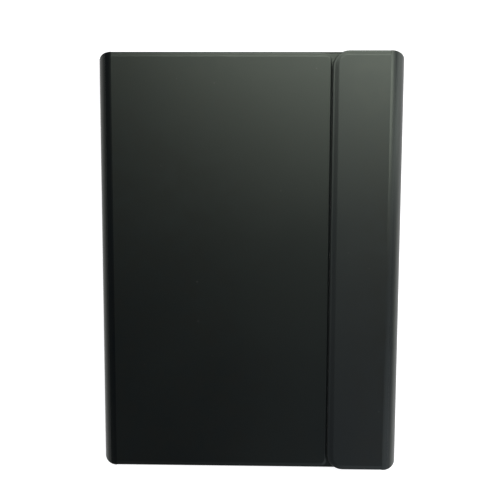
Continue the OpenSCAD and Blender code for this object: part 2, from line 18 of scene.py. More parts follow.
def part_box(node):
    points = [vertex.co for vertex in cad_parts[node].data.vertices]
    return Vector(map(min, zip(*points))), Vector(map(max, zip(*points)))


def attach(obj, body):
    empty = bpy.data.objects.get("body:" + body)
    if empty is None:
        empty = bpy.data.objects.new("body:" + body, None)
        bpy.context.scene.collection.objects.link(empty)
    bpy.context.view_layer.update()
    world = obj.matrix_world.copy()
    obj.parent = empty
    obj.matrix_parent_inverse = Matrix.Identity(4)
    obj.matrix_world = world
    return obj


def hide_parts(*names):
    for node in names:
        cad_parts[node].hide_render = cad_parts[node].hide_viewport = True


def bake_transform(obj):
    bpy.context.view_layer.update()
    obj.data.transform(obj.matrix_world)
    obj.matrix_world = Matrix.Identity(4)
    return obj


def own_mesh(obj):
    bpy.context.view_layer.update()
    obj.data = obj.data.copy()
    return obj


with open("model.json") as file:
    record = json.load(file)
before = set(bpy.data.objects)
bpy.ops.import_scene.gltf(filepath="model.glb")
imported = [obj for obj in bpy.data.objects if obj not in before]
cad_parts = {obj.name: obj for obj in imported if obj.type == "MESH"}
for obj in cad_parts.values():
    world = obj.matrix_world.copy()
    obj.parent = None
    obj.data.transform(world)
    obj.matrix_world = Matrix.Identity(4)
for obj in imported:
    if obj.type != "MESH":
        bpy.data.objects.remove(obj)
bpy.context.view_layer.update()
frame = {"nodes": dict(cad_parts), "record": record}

mm = 0.001
nodes = frame["nodes"]

# %% [markdown]
# ## Camera
# The folio is seen from above, a little nearer to its top end, from only 45 cm away. That is why
# the bottom looks narrower than the top, and why the side of the flap shows. A longer lens from
# further off would make both ends look the same width, so the camera is kept near and its lens
# short enough to hold the whole folio.

# %% Place the camera
lens = bpy.data.cameras.new("viewer")
lens.lens = 51.1
lens.sensor_width = 36
lens.clip_start = 0.01
camera = bpy.data.objects.new("viewer", lens)
camera.location = (8.62 * mm, 52.84 * mm, 458.3 * mm)
camera.rotation_euler = (radians(-5.666), radians(1.147), radians(0.244))
bpy.context.scene.collection.objects.link(camera)
bpy.context.scene.camera = camera
bpy.context.scene.view_settings.view_transform = "Standard"
print("the camera is", round(camera.location.z / mm), "mm above the floor")

# %% [markdown]
# ## Helpers for working by hand
# Each piece starts as a primitive and is shaped in edit mode. An operator acts on what is
# selected, so these helpers clear the selection and then pick vertices, edges or faces by their
# place.

# %% Selection helpers
def select_nothing():
    bpy.ops.object.select_all(action="DESELECT")


def open_mesh(piece):
    """Makes a piece the only selected one and opens its mesh, with nothing picked in it."""
    select_nothing()
    piece.select_set(True)
    bpy.context.view_layer.objects.active = piece
    bpy.ops.object.mode_set(mode="EDIT")
    bpy.ops.mesh.select_all(action="DESELECT")


def close_mesh():
    bpy.ops.object.mode_set(mode="OBJECT")


def pick(kind, test):
    """Picks the vertices, edges or faces whose corners all pass the test."""
    bpy.ops.mesh.select_mode(type=kind)
    bpy.ops.mesh.select_all(action="DESELECT")
    data = bpy.context.object.data
    mesh = bmesh.from_edit_mesh(data)
    parts = {"VERT": mesh.verts, "EDGE": mesh.edges, "FACE": mesh.faces}[kind]
    for part in parts:
        corners = [part] if kind == "VERT" else part.verts
        if all(test(corner.co) for corner in corners):
            part.select_set(True)
    bmesh.update_edit_mesh(data)


def pick_rims(test, low=40, high=180, leave=lambda p: False):
    """Picks the edges whose ends pass and where two faces meet at from low to high degrees. Edges
    whose ends both pass leave are left out."""
    bpy.ops.mesh.select_mode(type="EDGE")
    bpy.ops.mesh.select_all(action="DESELECT")
    data = bpy.context.object.data
    mesh = bmesh.from_edit_mesh(data)
    for edge in mesh.edges:
        bend = edge.calc_face_angle(0)
        wanted = all(test(end.co) for end in edge.verts)
        left_out = all(leave(end.co) for end in edge.verts)
        if wanted and not left_out and radians(low) < bend < radians(high):
            edge.select_set(True)
    bmesh.update_edit_mesh(data)


def pick_all():
    bpy.ops.mesh.select_all(action="SELECT")


def near(a, b):
    return abs(a - b) < 0.02 * mm


print("selection helpers ready")

# %% [markdown]
# What is picked is then shaped. Each closed shape has its doubles merged and its faces turned
# outwards before it is used. Holes are cut last, by a boolean modifier that is applied.

# %% Shaping helpers
def move(x=0, y=0, z=0):
    bpy.ops.transform.translate(value=(x, y, z))


def resize(x, y, z=1):
    bpy.ops.transform.resize(value=(x, y, z))


def extrude(z):
    bpy.ops.mesh.extrude_region_move(TRANSFORM_OT_translate={"value": (0, 0, z)})


def soften(width, segments=3):
    """Rounds the picked edges."""
    bpy.ops.mesh.bevel(offset=width, segments=segments, profile=0.5, affect="EDGES")


def merge_doubles():
    bpy.ops.mesh.remove_doubles(threshold=0.003 * mm)


def face_outwards():
    """Merges doubles and turns all faces outwards. A wide thin piece can come out inside out, which
    shows as a volume below zero."""
    bpy.ops.mesh.select_mode(type="FACE")
    pick_all()
    merge_doubles()
    bpy.ops.mesh.normals_make_consistent(inside=False)
    if bmesh.from_edit_mesh(bpy.context.object.data).calc_volume(signed=True) < 0:
        bpy.ops.mesh.flip_normals()


def smooth(piece, angle=35, keep_flat=True):
    """Shades soft edges smooth. Weighted normals keep the large flat faces flat beside them."""
    select_nothing()
    piece.select_set(True)
    bpy.context.view_layer.objects.active = piece
    bpy.ops.object.shade_smooth_by_angle(angle=radians(angle))
    if keep_flat:
        weighted = piece.modifiers.new("weighted normals", "WEIGHTED_NORMAL")
        weighted.keep_sharp = True
        bpy.ops.object.modifier_apply(modifier=weighted.name)


def cut(piece, cutter, operation="DIFFERENCE"):
    """Cuts a piece with another one, which is removed."""
    tool = piece.modifiers.new("cut", "BOOLEAN")
    tool.operation = operation
    tool.solver = "EXACT"
    tool.object = cutter
    select_nothing()
    bpy.context.view_layer.objects.active = piece
    bpy.ops.object.modifier_apply(modifier=tool.name)
    bpy.data.objects.remove(cutter)


def measured(piece):
    """A piece's size in mm, for printing."""
    return [round(c / mm, 2) for c in piece.dimensions]


print("shaping helpers ready")

# %% [markdown]
# ## A sheet with round corners
# Every cover is cut from flat sheet, so the first shape is a plane. A vertex bevel rounds the
# chosen corners, which is quicker than drawing arcs, and one extrusion gives the thickness.

# %% Sheet with round corners
corner_steps = 10


def rectangle(name, middle, z, width, length):
    """A flat rectangle of this width along X, left open in edit mode."""
    select_nothing()
    bpy.ops.mesh.primitive_plane_add(size=1, location=(middle, 0, z))
    piece = bpy.context.object
    piece.name = piece.data.name = name
    piece.scale = (width, length, 1)
    bpy.ops.object.transform_apply(location=True, rotation=False, scale=True)
    open_mesh(piece)
    return piece


def sheet(name, x0, x1, length, r0, r1, z, thick):
    """A sheet from x0 to x1 with corner radius r0 at x0 and r1 at x1, left open in edit mode."""
    piece = rectangle(name, (x0 + x1) / 2, z, x1 - x0, length)
    for radius, edge in ((r0, x0), (r1, x1)):
        if radius > 0:
            pick("VERT", lambda p: near(p.x, edge))
            bpy.ops.mesh.bevel(offset=radius, segments=corner_steps, affect="VERTICES")
    pick_all()
    extrude(thick)
    return piece


print("sheet helper ready")

# %% [markdown]
# An inset is as wide on all sides, but a cover's border isn't: it is wider where the flap lands.
# So the face is inset by a small step, and then each side of the new outline is moved to its
# place.

# %% Inner outline
def pick_numbered(numbers, test=lambda p: True):
    """Picks vertices by their numbers, where their place passes the test."""
    bpy.ops.mesh.select_mode(type="VERT")
    bpy.ops.mesh.select_all(action="DESELECT")
    data = bpy.context.object.data
    mesh = bmesh.from_edit_mesh(data)
    mesh.verts.ensure_lookup_table()
    for number in numbers:
        vertex = mesh.verts[number]
        vertex.select_set(test(vertex.co))
    mesh.select_flush_mode()
    bmesh.update_edit_mesh(data)


def inner_outline(step, left, right, ends):
    """Insets the picked face by step, then moves its sides so that they lie left, right and ends
    away from the old outline."""
    bpy.ops.mesh.inset(thickness=step)
    mesh = bmesh.from_edit_mesh(bpy.context.object.data)
    outline = [v.index for v in mesh.verts if v.select]
    xs = [v.co.x for v in mesh.verts if v.select]
    middle = (min(xs) + max(xs)) / 2
    for test, way in (
        (lambda p: p.x < middle, (left - step, 0)),
        (lambda p: p.x > middle, (step - right, 0)),
        (lambda p: p.y > 0, (0, step - ends)),
        (lambda p: p.y < 0, (0, ends - step)),
    ):
        pick_numbered(outline, test)
        move(*way)
    pick_numbered(outline)
    bpy.ops.mesh.select_mode(type="FACE")


print("outline helper ready")

# %% [markdown]
# ## Cover panels
# A cover is a stiff board between an outer skin and a lining. The skin is pressed flat round the
# board, so the board shows as a raised field that slopes down to a thin border. It could be two
# stacked slabs, but one mesh is better, because the border and the field are one skin. The sheet's
# face is inset to the foot of the slope and inset again to its top, which is raised. All rims are
# then rounded. Where the field runs on into a bend, the panel is made too long and cut off square.

# %% Panel skin
skin = 0.7 * mm
board = 1.2 * mm
lining = 0.5 * mm
pressed = 1.5 * mm
spare = 8 * mm


def cut_off(x, keep):
    """Cuts the open mesh off at x and closes it. keep is 1 for what lies beyond x, and -1 for the
    rest."""
    pick_all()
    bpy.ops.mesh.bisect(plane_co=(x, 0, 0), plane_no=(1, 0, 0), use_fill=True,
                        clear_inner=keep > 0, clear_outer=keep < 0)


def panel_skin(name, x0, x1, length, corners, foot, slope, z, up, flush):
    """An outer skin from its inner face at z, with a pocket for the board. corners are the radii at
    x0 and x1. foot and slope are a step and the distances at x0, x1 and the ends, from the edge to
    the foot of the slope and from there to its top. flush says whether x0 and x1 are cut square."""
    first = x0 - (spare if flush[0] else 0)
    last = x1 + (spare if flush[1] else 0)
    edge, top = z + up * pressed, z + up * (board + skin)
    piece = sheet(name, first, last, length, corners[0], corners[1], z, up * pressed)
    inner_outline(*foot)
    inner_outline(*slope)
    move(0, 0, top - edge)
    face_outwards()
    pick_rims(lambda p: near(p.z, top), 4)
    soften(0.4 * mm, 4)
    pick_rims(lambda p: near(p.z, edge), 4, 40)
    soften(0.25 * mm, 3)
    pick_rims(lambda p: near(p.z, edge))
    soften(0.5 * mm, 4)
    if flush[0]:
        cut_off(x0, 1)
    if flush[1]:
        cut_off(x1, -1)
    left, right = (0 if cut_square else foot[side] + slope[side]
                   for side, cut_square in zip((1, 2), flush))
    pick("FACE", lambda p: near(p.z, z))
    inner_outline(0.5 * mm, left + skin, right + skin, foot[3] + slope[3] + skin)
    extrude(up * board)
    face_outwards()
    close_mesh()
    smooth(piece)
    return piece


def panel_cloth(name, x0, x1, length, corners, z, up):
    """The lining, which has the same outline as its skin."""
    piece = sheet(name, x0, x1, length, corners[0], corners[1], z, up * lining)
    face_outwards()
    pick_rims(lambda p: near(p.z, z))
    soften(0.15 * mm, 2)
    close_mesh()
    smooth(piece)
    return piece


print("panel helpers ready")

# %% [markdown]
# ### Front cover
# The raised field stops where the flap's free edge lands. From there to the far edge the skin is
# pressed flat, as a bed for the flap to lie in. The bed could be a second piece, but on a real
# cover it is the same skin, so it is only a wider step on that side.

# %% Front cover
front_low, front_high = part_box("front_skin")
flap_low, flap_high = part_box("flap_skin")
front_x0, front_x1 = front_low.x, front_high.x
front_length = front_high.y - front_low.y
recess = 0.4 * mm
bed_width = front_x1 - (flap_low.x - recess)
cover_corner = 5 * mm
border = 0.9 * mm
rise = 1.7 * mm

front_leather = panel_skin(
    "front_leather", front_x0, front_x1, front_length, (0, cover_corner),
    (1.5 * mm, border, bed_width, border), (0.8 * mm, rise, 0.8 * mm, rise),
    front_low.z, 1, (True, False))
panel_cloth(
    "front_cloth", front_x0, front_x1, front_length, (0, cover_corner), front_low.z - lining, 1)
print("front cover", measured(front_leather), "mm")

# %% [markdown]
# ### Flap
# The flap closes the folio. It could be a narrow copy of the front cover, but its slopes are
# wider, and its free corners have a larger radius, so that they don't catch in a bag. So the same
# helper is called again with the flap's own steps.

# %% Flap
flap_x0, flap_x1 = flap_low.x, flap_high.x
flap_length = flap_high.y - flap_low.y
flap_corner = 10 * mm

flap_leather = panel_skin(
    "flap_leather", flap_x0, flap_x1, flap_length, (flap_corner, 0),
    (1.3 * mm, 1.3 * mm, border, border), (2.5 * mm, 2.5 * mm, rise, rise), flap_low.z, 1,
    (False, True))
panel_cloth(
    "flap_cloth", flap_x0, flap_x1, flap_length, (flap_corner, 0), flap_low.z - lining, 1)
print("flap", measured(flap_leather), "mm")

# %% [markdown]
# ### Back and stand
# The back is two panels that face the table. The one on the right is glued to the tray. The one on
# the left swings out on two hinges as the stand. Holes through a panel are cut last, with a solid
# of the hole's shape, because an inset would have to find its way round them.

# %% Back
back_low, back_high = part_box("back_skin")
trim_low, trim_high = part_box("camera_trim")


def hinge_rim(piece, x, z):
    """Rounds the edge where a skin is turned over its board, beside the hinges."""
    open_mesh(piece)
    pick_rims(lambda p: near(p.x, x) and near(p.z, z))
    soften(0.4 * mm)
    close_mesh()
    smooth(piece)


def camera_cutter():
    """A solid of the camera window's shape, through the whole back."""
    low, high = trim_low, trim_high
    solid = sheet("camera_cutter", low.x, high.x, high.y - low.y, 7 * mm, 7 * mm, -1 * mm, 5 * mm)
    face_outwards()
    move(0, (low.y + high.y) / 2)
    close_mesh()
    return solid


def leaf_cutter(node):
    """Boxes round the hinge leaves of a node, which slide into a panel's edge."""
    low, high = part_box(node)
    select_nothing()
    bpy.ops.mesh.primitive_cube_add(size=1)
    solid = bpy.context.object
    open_mesh(solid)
    pick_all()
    leaf = 36 * mm
    resize(high.x - low.x, leaf, 0.6 * mm)
    move((low.x + high.x) / 2, high.y - leaf / 2, 1.2 * mm)
    bpy.ops.mesh.duplicate_move(
        TRANSFORM_OT_translate={"value": (0, low.y - high.y + leaf, 0)})
    close_mesh()
    return solid


back_leather = panel_skin(
    "back_leather", back_low.x, back_high.x, back_high.y - back_low.y, (0, 0),
    (border, border, border, border), (rise, rise, rise, rise), back_high.z, -1, (True, True))
hinge_rim(back_leather, back_low.x, back_low.z)
back_cloth = panel_cloth(
    "back_cloth", back_low.x, back_high.x, back_high.y - back_low.y, (0, 0),
    back_high.z + lining, -1)
for piece in (back_leather, back_cloth):
    cut(piece, camera_cutter())
cut(back_leather, leaf_cutter("back_hinge_leaves"))
print("back", measured(back_leather), "mm")

# %% [markdown]
# The stand has a thumb notch in its free edge, where it is pulled out. Vertices could be pushed in
# one by one, but a cylinder that is cut out of both the skin and the lining leaves the same clean
# arc in each.

# %% Stand
stand_low, stand_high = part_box("stand_skin")
stand_length = stand_high.y - stand_low.y
thumb = 9 * mm


def thumb_cutter():
    select_nothing()
    bpy.ops.mesh.primitive_cylinder_add(
        vertices=64, radius=thumb, depth=8 * mm, location=(stand_low.x, 0, 0))
    solid = bpy.context.object
    bpy.ops.object.transform_apply(location=True)
    return solid


stand_leather = panel_skin(
    "stand_leather", stand_low.x, stand_high.x, stand_length, (cover_corner, 0),
    (border, border, border, border), (rise, rise, rise, rise), stand_high.z, -1, (False, True))
hinge_rim(stand_leather, stand_high.x, stand_low.z)
stand_cloth = panel_cloth(
    "stand_cloth", stand_low.x, stand_high.x, stand_length, (cover_corner, 0),
    stand_high.z + lining, -1)
for piece in (stand_leather, stand_cloth):
    cut(piece, thumb_cutter())
cut(stand_leather, leaf_cutter("stand_hinge_leaves"))
print("stand", measured(stand_leather), "mm")

# %% [markdown]
# ## Spine and edge strips
# Both sides of the folio are an upright strip between two soft bends. A strip is a thin sleeve
# with its own board. The bends hold no board, so they can fold. Each bend is a narrow rectangle,
# spun a quarter turn round the middle of the fold. A bent slab or a bevelled corner would look the
# same when closed; here each bend is a piece of its own.

# %% Strips
corner_reach = 9 * mm
sleeve_end = 8 * mm


def footprint(length):
    """A solid with the closed folio's outline, which trims the corners of what lies in it. Its
    corners reach further in along X than along Y, so it is made narrow and then stretched."""
    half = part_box("edge_skin")[1].x
    stretch = corner_reach / cover_corner
    solid = sheet("footprint", -half / stretch, half / stretch, length, cover_corner, cover_corner,
                  -1 * mm, 26 * mm)
    pick_all()
    resize(stretch, 1)
    face_outwards()
    close_mesh()
    return solid


def strip(name, node):
    """An upright strip: a sheet raised from its edge, with a sleeve through it for the board."""
    low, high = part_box(node)
    piece = sheet(name, low.x, high.x, high.y - low.y, 0, 0, low.z, high.z - low.z)
    bpy.ops.mesh.select_mode(type="FACE")
    bpy.ops.mesh.select_all(action="DESELECT")
    for z in (low.z, high.z):
        pick("FACE", lambda p: near(p.z, z))
        side = skin if low.x < 0 else lining
        other = lining if low.x < 0 else skin
        inner_outline(0.4 * mm, side, other, sleeve_end)
    pick("FACE", lambda p: low.x + 0.45 * mm < p.x < high.x - 0.45 * mm
         and abs(p.y) < high.y - 1 * mm and (near(p.z, low.z) or near(p.z, high.z)))
    bpy.ops.mesh.bridge_edge_loops()
    face_outwards()
    close_mesh()
    cut(piece, footprint(high.y - low.y), "INTERSECT")
    smooth(piece)
    return piece


spine_leather = strip("spine_leather", "spine_skin")
edge_leather = strip("edge_leather", "edge_skin")
for piece in (spine_leather, edge_leather):
    print(piece.name, len(piece.data.polygons), "faces", measured(piece), "mm")

# %% [markdown]
# A bend is trimmed to the same footprint. Only its end rims are rounded, because a rounded seam
# would show as a groove where it meets its strip and its panel.

# %% Bends
bend_thick = lining + skin
bend_steps = 14


def bend(name, node, side, above):
    """A quarter turn of bare leather. side is -1 at the spine and 1 at the flap, and above says
    whether it lies over its strip or under it."""
    low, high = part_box(node)
    length = high.y - low.y
    radius = high.x - low.x
    x = low.x if side > 0 else high.x
    z = low.z if above else high.z
    piece = rectangle(name, x + side * (radius - bend_thick / 2), z, bend_thick, length)
    pick_all()
    way = side if above else -side
    bpy.ops.mesh.spin(steps=bend_steps, angle=pi / 2, center=(x, 0, z), axis=(0, way, 0))
    face_outwards()
    close_mesh()
    cut(piece, footprint(length), "INTERSECT")
    open_mesh(piece)
    pick_rims(lambda p: abs(p.y) > length / 2 - cover_corner - 0.1 * mm,
              leave=lambda p: near(p.x, x) or near(p.z, z))
    soften(0.35 * mm)
    close_mesh()
    smooth(piece, keep_flat=False)
    return piece


spine_back_bend = bend("spine_back_bend", "spine_back_crease", -1, False)
spine_front_bend = bend("spine_front_bend", "spine_front_crease", -1, True)
edge_back_bend = bend("edge_back_bend", "edge_back_crease", 1, False)
edge_flap_bend = bend("edge_flap_bend", "edge_flap_crease", 1, True)
for piece in (spine_back_bend, spine_front_bend, edge_back_bend, edge_flap_bend):
    print(piece.name, len(piece.data.polygons), "faces", measured(piece), "mm")

# %% [markdown]
# A strip of bare leather ties the spine to the tray, beside the stand. It is as thick as a panel
# but holds no board. A bevel modifier would round all of its edges, and only the rim that faces
# the table shows, so those edges are picked and bevelled by themselves.

# %% Anchor strip
anchor_low, anchor_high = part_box("anchor_strip")
anchor_leather = sheet(
    "anchor_leather", anchor_low.x, anchor_high.x, anchor_high.y - anchor_low.y, 0, 1 * mm,
    anchor_low.z, anchor_high.z - anchor_low.z)
face_outwards()
pick_rims(lambda p: near(p.z, anchor_low.z) and p.x > anchor_low.x + 0.1 * mm)
soften(0.4 * mm, 3)
close_mesh()
smooth(anchor_leather)
print("anchor strip", measured(anchor_leather), "mm")

# %% [markdown]
# ## Keys
# Each key is a shallow cap with round corners, walls that lean in a little and a top that dips for
# the fingertip. The caps could be left as the frame's plain blocks, but a key is the thing a hand
# meets, so it gets its real form. One cap of each size is modelled, with its top towards the
# tablet, and copies of it, each with its own mesh, go to their places.

# %% Key layout
caps_low, caps_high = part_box("home_letter_keys")
cap_top = caps_low.z
cap_height = caps_high.z - caps_low.z
key_gap = 2.4 * mm
columns = 14
keys_low, keys_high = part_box("function_keys")
pitch = (keys_high.y - keys_low.y + key_gap) / columns
function_depth = keys_high.x - keys_low.x
key_depth = caps_high.x - caps_low.x
row_pitch = key_depth + key_gap + 0.2 * mm
units = [
    [1] * 14,
    [0.7] + [1] * 12 + [1.3],
    [1.2] + [1] * 12 + [0.8],
    [1.45] + [1] * 11 + [1.55],
    [1.95] + [1] * 10 + [2.05],
    [1, 1, 1, 1, 5, 1, 1, 1, 1, 1],
]
labels = [
    ["esc"] + ["F%d" % n for n in range(1, 13)] + ["del"],
    ["`"] + list("1234567890-=") + ["back"],
    ["tab"] + list("QWERTYUIOP[]") + ["\\"],
    ["caps"] + list("ASDFGHJKL;'") + ["enter"],
    ["shift"] + list("ZXCVBNM,./") + ["shift"],
    ["fn", "ctrl", "alt", "lang", "", "alt", "ctrl", "left", "", "right"],
]
groups = {
    "function_keys": [(0, range(14))],
    "number_keys": [(1, range(13))],
    "backspace_key": [(1, [13])],
    "tab_key": [(2, [0])],
    "upper_letter_keys": [(2, range(1, 14))],
    "caps_lock_key": [(3, [0])],
    "home_letter_keys": [(3, range(1, 12))],
    "enter_key": [(3, [12])],
    "left_shift_key": [(4, [0])],
    "lower_letter_keys": [(4, range(1, 11))],
    "right_shift_key": [(4, [11])],
    "modifier_keys": [(5, range(0, 4)), (5, [5, 6])],
    "space_bar": [(5, [4])],
    "arrow_keys": [(5, [7, 8, 9])],
}
print(sum(len(row) for row in units), "keys in", len(units), "rows")

# %% [markdown]
# The rows are counted from the tablet, and a key of one unit is one pitch wide with its gap. Caps
# could be placed one by one, but widths in units keep the gaps even and the rows equally long. Up
# and down share a column, so that column holds two half-deep caps.

# %% Places of the caps
split_column = 8
split_gap = 1 * mm


def key_places(row, column):
    """The middle, depth, width and label of each cap in a column. The arrow column holds two."""
    width = units[row][column] * pitch - key_gap
    y = (columns / 2 - sum(units[row][:column]) - units[row][column] / 2) * pitch
    depth = key_depth if row else function_depth
    x = keys_low.x if row == 0 else keys_high.x + key_gap + (row - 1) * row_pitch
    if row == 5 and column == split_column:
        half = (depth - split_gap) / 2
        return [(x + half / 2, y, half, width, "up"),
                (x + depth - half / 2, y, half, width, "down")]
    return [(x + depth / 2, y, depth, width, labels[row][column])]


def group_places(node):
    """The places of all caps that share a node."""
    return [place for row, cs in groups[node] for c in cs for place in key_places(row, c)]


def short(node):
    """The start of the names of the pieces that are made for a node."""
    return node.replace("_keys", "").replace("_key", "")


print(sum(len(group_places(node)) for node in groups), "caps")

# %% [markdown]
# A cap is made upside down, as it lies in the closed folio. A plane at its open side is given
# round corners, extruded to the top and drawn in a little. The dish is the top face, scaled down
# and sunk in three steps. Insets would do that too, but on a narrow cap they run past each other
# at the corners. The hollow under the cap is one inset, pushed up into it.

# %% Cap forms
cap_forms = {}
cap_wall = 0.8 * mm
cap_roof = 1 * mm
dish = 0.18 * mm


def size_of(depth, width):
    return round(depth / mm, 2), round(width / mm, 2)


def cap_form(depth, width):
    """The mesh of one cap of this size round the origin, made once for each size."""
    size = size_of(depth, width)
    if size in cap_forms:
        return cap_forms[size]
    base = cap_top + cap_height
    cap = sheet("cap_%d_%d" % (size[0] * 10, size[1] * 10), -depth / 2, depth / 2, width,
                1 * mm, 1 * mm, base, -cap_height)
    lean = 0.35 * mm
    resize(1 - 2 * lean / depth, 1 - 2 * lean / width)
    pick_rims(lambda p: near(p.z, cap_top))
    soften(0.3 * mm, 2)
    pick("FACE", lambda p: near(p.z, cap_top))
    for share, sink in ((0.86, 0.25), (0.8, 0.4), (0.7, 0.35)):
        extrude(0)
        resize(share, share)
        move(0, 0, dish * sink)
    pick("FACE", lambda p: near(p.z, base))
    bpy.ops.mesh.inset(thickness=cap_wall)
    extrude(-(cap_height - cap_roof))
    face_outwards()
    close_mesh()
    smooth(cap, 50)
    cap_forms[size] = cap.data
    bpy.data.objects.remove(cap)
    return cap_forms[size]


def copy_to(mesh, x, y):
    """A copy with its own mesh, moved to its place."""
    piece = bpy.data.objects.new("copy", mesh.copy())
    bpy.context.scene.collection.objects.link(piece)
    piece.data.transform(Matrix.Translation((x, y, 0)))
    return piece


def join(pieces, name):
    select_nothing()
    for piece in pieces:
        piece.select_set(True)
    bpy.context.view_layer.objects.active = pieces[0]
    if len(pieces) > 1:
        bpy.ops.object.join()
    pieces[0].name = pieces[0].data.name = name
    return pieces[0]


key_caps = {}
for node in groups:
    caps = [copy_to(cap_form(depth, width), x, y)
            for x, y, depth, width, label in group_places(node)]
    key_caps[node] = join(caps, short(node) + "_caps")
print(len(cap_forms), "cap sizes,", len(key_caps), "pieces")

# %% [markdown]
# ## Key legends
# The legends are printed on the caps. They could be a painted texture, but printed ink has an edge
# and a thickness of its own, so each is a text object made into a thin mesh. Its top points away
# from the wrist rest and it reads from the tablet's side. The arrows are triangles.

# %% Legends
ink_thick = 0.03 * mm
legend_depth = dish * 0.72
ink_height = cap_top + legend_depth - ink_thick
letter_size = 4.2 * mm
word_size = 2.6 * mm
arrow_turns = {"up": 0, "left": pi / 2, "down": pi, "right": -pi / 2}
towards_user = Matrix(((0, -1, 0, 0), (-1, 0, 0, 0), (0, 0, -1, 0), (0, 0, 0, 1)))


def legend(text, x, y):
    """One printed legend with its middle at x and y."""
    select_nothing()
    if text in arrow_turns:
        bpy.ops.mesh.primitive_circle_add(vertices=3, radius=1.1 * mm, fill_type="NGON")
        mark = bpy.context.object
        open_mesh(mark)
        pick_all()
        extrude(ink_thick)
        face_outwards()
        close_mesh()
        mark.data.transform(Matrix.Rotation(arrow_turns[text], 4, "Z"))
    else:
        bpy.ops.object.text_add()
        mark = bpy.context.object
        mark.data.body = text
        mark.data.size = letter_size if len(text) == 1 else word_size
        mark.data.align_x = "CENTER"
        mark.data.align_y = "CENTER"
        mark.data.resolution_u = 2
        mark.data.extrude = ink_thick / 2
        bpy.ops.object.convert(target="MESH")
        mark = bpy.context.object
        open_mesh(mark)
        pick_all()
        merge_doubles()
        bpy.ops.mesh.dissolve_limited(angle_limit=radians(1))
        close_mesh()
    mark.data.transform(Matrix.Translation((x, y, ink_height)) @ towards_user)
    return mark


key_legends = {}
for node in groups:
    marks = [legend(text, x, y) for x, y, depth, width, text in group_places(node) if text]
    if marks:
        key_legends[node] = join(marks, short(node) + "_legends")
        open_mesh(key_legends[node])
        face_outwards()
        close_mesh()
print(sum(len(m.data.polygons) for m in key_legends.values()), "faces of legends")

# %% [markdown]
# ## Key mechanism
# A rubber dome under each cap pushes it up, and two crossed frames keep it level. Both fold when a
# key is pressed. The frame's solids are rigid and would come through the caps, so each group of
# keys gets its own domes and frames. A dome is a cone. A link is a plane, inset by the width of its
# bars and without its middle, extruded to their thickness.

# %% Domes and links
dome_low, dome_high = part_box("rubber_domes")
membrane_z = dome_high.z
cap_inside = dome_low.z - 0.1 * mm
key_room = membrane_z - cap_inside
bar = 0.8 * mm
bar_thick = 0.5 * mm
nest_gap = 0.15 * mm
link_share = 0.58
widest_link = 10.4 * mm
widest_dome = 2.6 * mm


def dome_form(radius):
    """A dome at the origin, narrow where it meets the cap."""
    select_nothing()
    bpy.ops.mesh.primitive_cone_add(
        vertices=24, radius1=radius / 2, radius2=radius, depth=membrane_z - dome_low.z,
        location=(0, 0, (membrane_z + dome_low.z) / 2))
    dome = bpy.context.object
    bpy.ops.object.transform_apply(location=True)
    open_mesh(dome)
    face_outwards()
    pick_rims(lambda p: near(p.z, dome_low.z))
    soften(0.25 * mm, 2)
    close_mesh()
    smooth(dome)
    return dome


def link_form(length, width, tilt):
    """One frame of a pair of links, tilted about the pin they cross on."""
    link = rectangle("link", 0, 0, length, width)
    pick_all()
    bpy.ops.mesh.inset(thickness=bar)
    bpy.ops.mesh.delete(type="FACE")
    pick_all()
    extrude(bar_thick)
    pick_all()
    move(0, 0, -bar_thick / 2)
    face_outwards()
    close_mesh()
    link.data.transform(Matrix.Translation((0, 0, (membrane_z + cap_inside) / 2))
                        @ Matrix.Rotation(tilt, 4, "Y"))
    return link


print("dome and link helpers ready")

# %% [markdown]
# The mechanism has to fit inside its cap, so its sizes are worked out from the cap's and not
# chosen. The narrow link crosses inside the wide one, tilted the other way, and the dome stands in
# the middle of both. As with the caps, each size is made once and copied.

# %% Mechanism under each cap
mechanisms = {}


def mechanism(depth, width):
    """The meshes of the dome and the two links under a cap, made once for each size."""
    size = size_of(depth, width)
    if size not in mechanisms:
        length = depth * link_share
        wide = min(widest_link, width - 2 * cap_wall - 1 * mm)
        narrow = wide - 2 * bar - 2 * nest_gap
        radius = min(widest_dome, length / 2 - bar - 0.4 * mm, narrow / 2 - bar - 0.05 * mm)
        tilt = asin((key_room - bar_thick - 0.3 * mm) / length)
        forms = [dome_form(radius), link_form(length, wide, tilt), link_form(length, narrow, -tilt)]
        mechanisms[size] = [form.data for form in forms]
        for form in forms:
            bpy.data.objects.remove(form)
    return mechanisms[size]


key_domes = {}
key_links = {}
for node in groups:
    forms = [(mechanism(depth, width), x, y) for x, y, depth, width, label in group_places(node)]
    key_domes[node] = join([copy_to(form[0], x, y) for form, x, y in forms], short(node) + "_domes")
    key_links[node] = join(
        [copy_to(mesh, x, y) for form, x, y in forms for mesh in form[1:]], short(node) + "_links")
print(len(mechanisms), "sizes of dome and links,", len(key_domes) + len(key_links), "pieces")

# %% [markdown]
# ## Finishes
# Nothing real has one flat colour. Even a smooth coat has a fine grain, broad uneven patches where
# it was pressed, and spots of dust. Three effects serve many materials, so each is a node group
# with its own inputs, built once. A group gives out only values and colours that change over the
# surface.

# %% Node helpers
def feed(tree, socket, value):
    """Links another socket to this one, or sets it to a fixed value."""
    if isinstance(value, bpy.types.NodeSocket):
        tree.links.new(value, socket)
    else:
        socket.default_value = value


def add_node(tree, kind, settings=None, **inputs):
    """A new node, with settings for its properties and inputs given by name with _ for a space."""
    made = tree.nodes.new(kind)
    for key, value in (settings or {}).items():
        setattr(made, key, value)
    for key, value in inputs.items():
        feed(tree, made.inputs[key.replace("_", " ")], value)
    return made


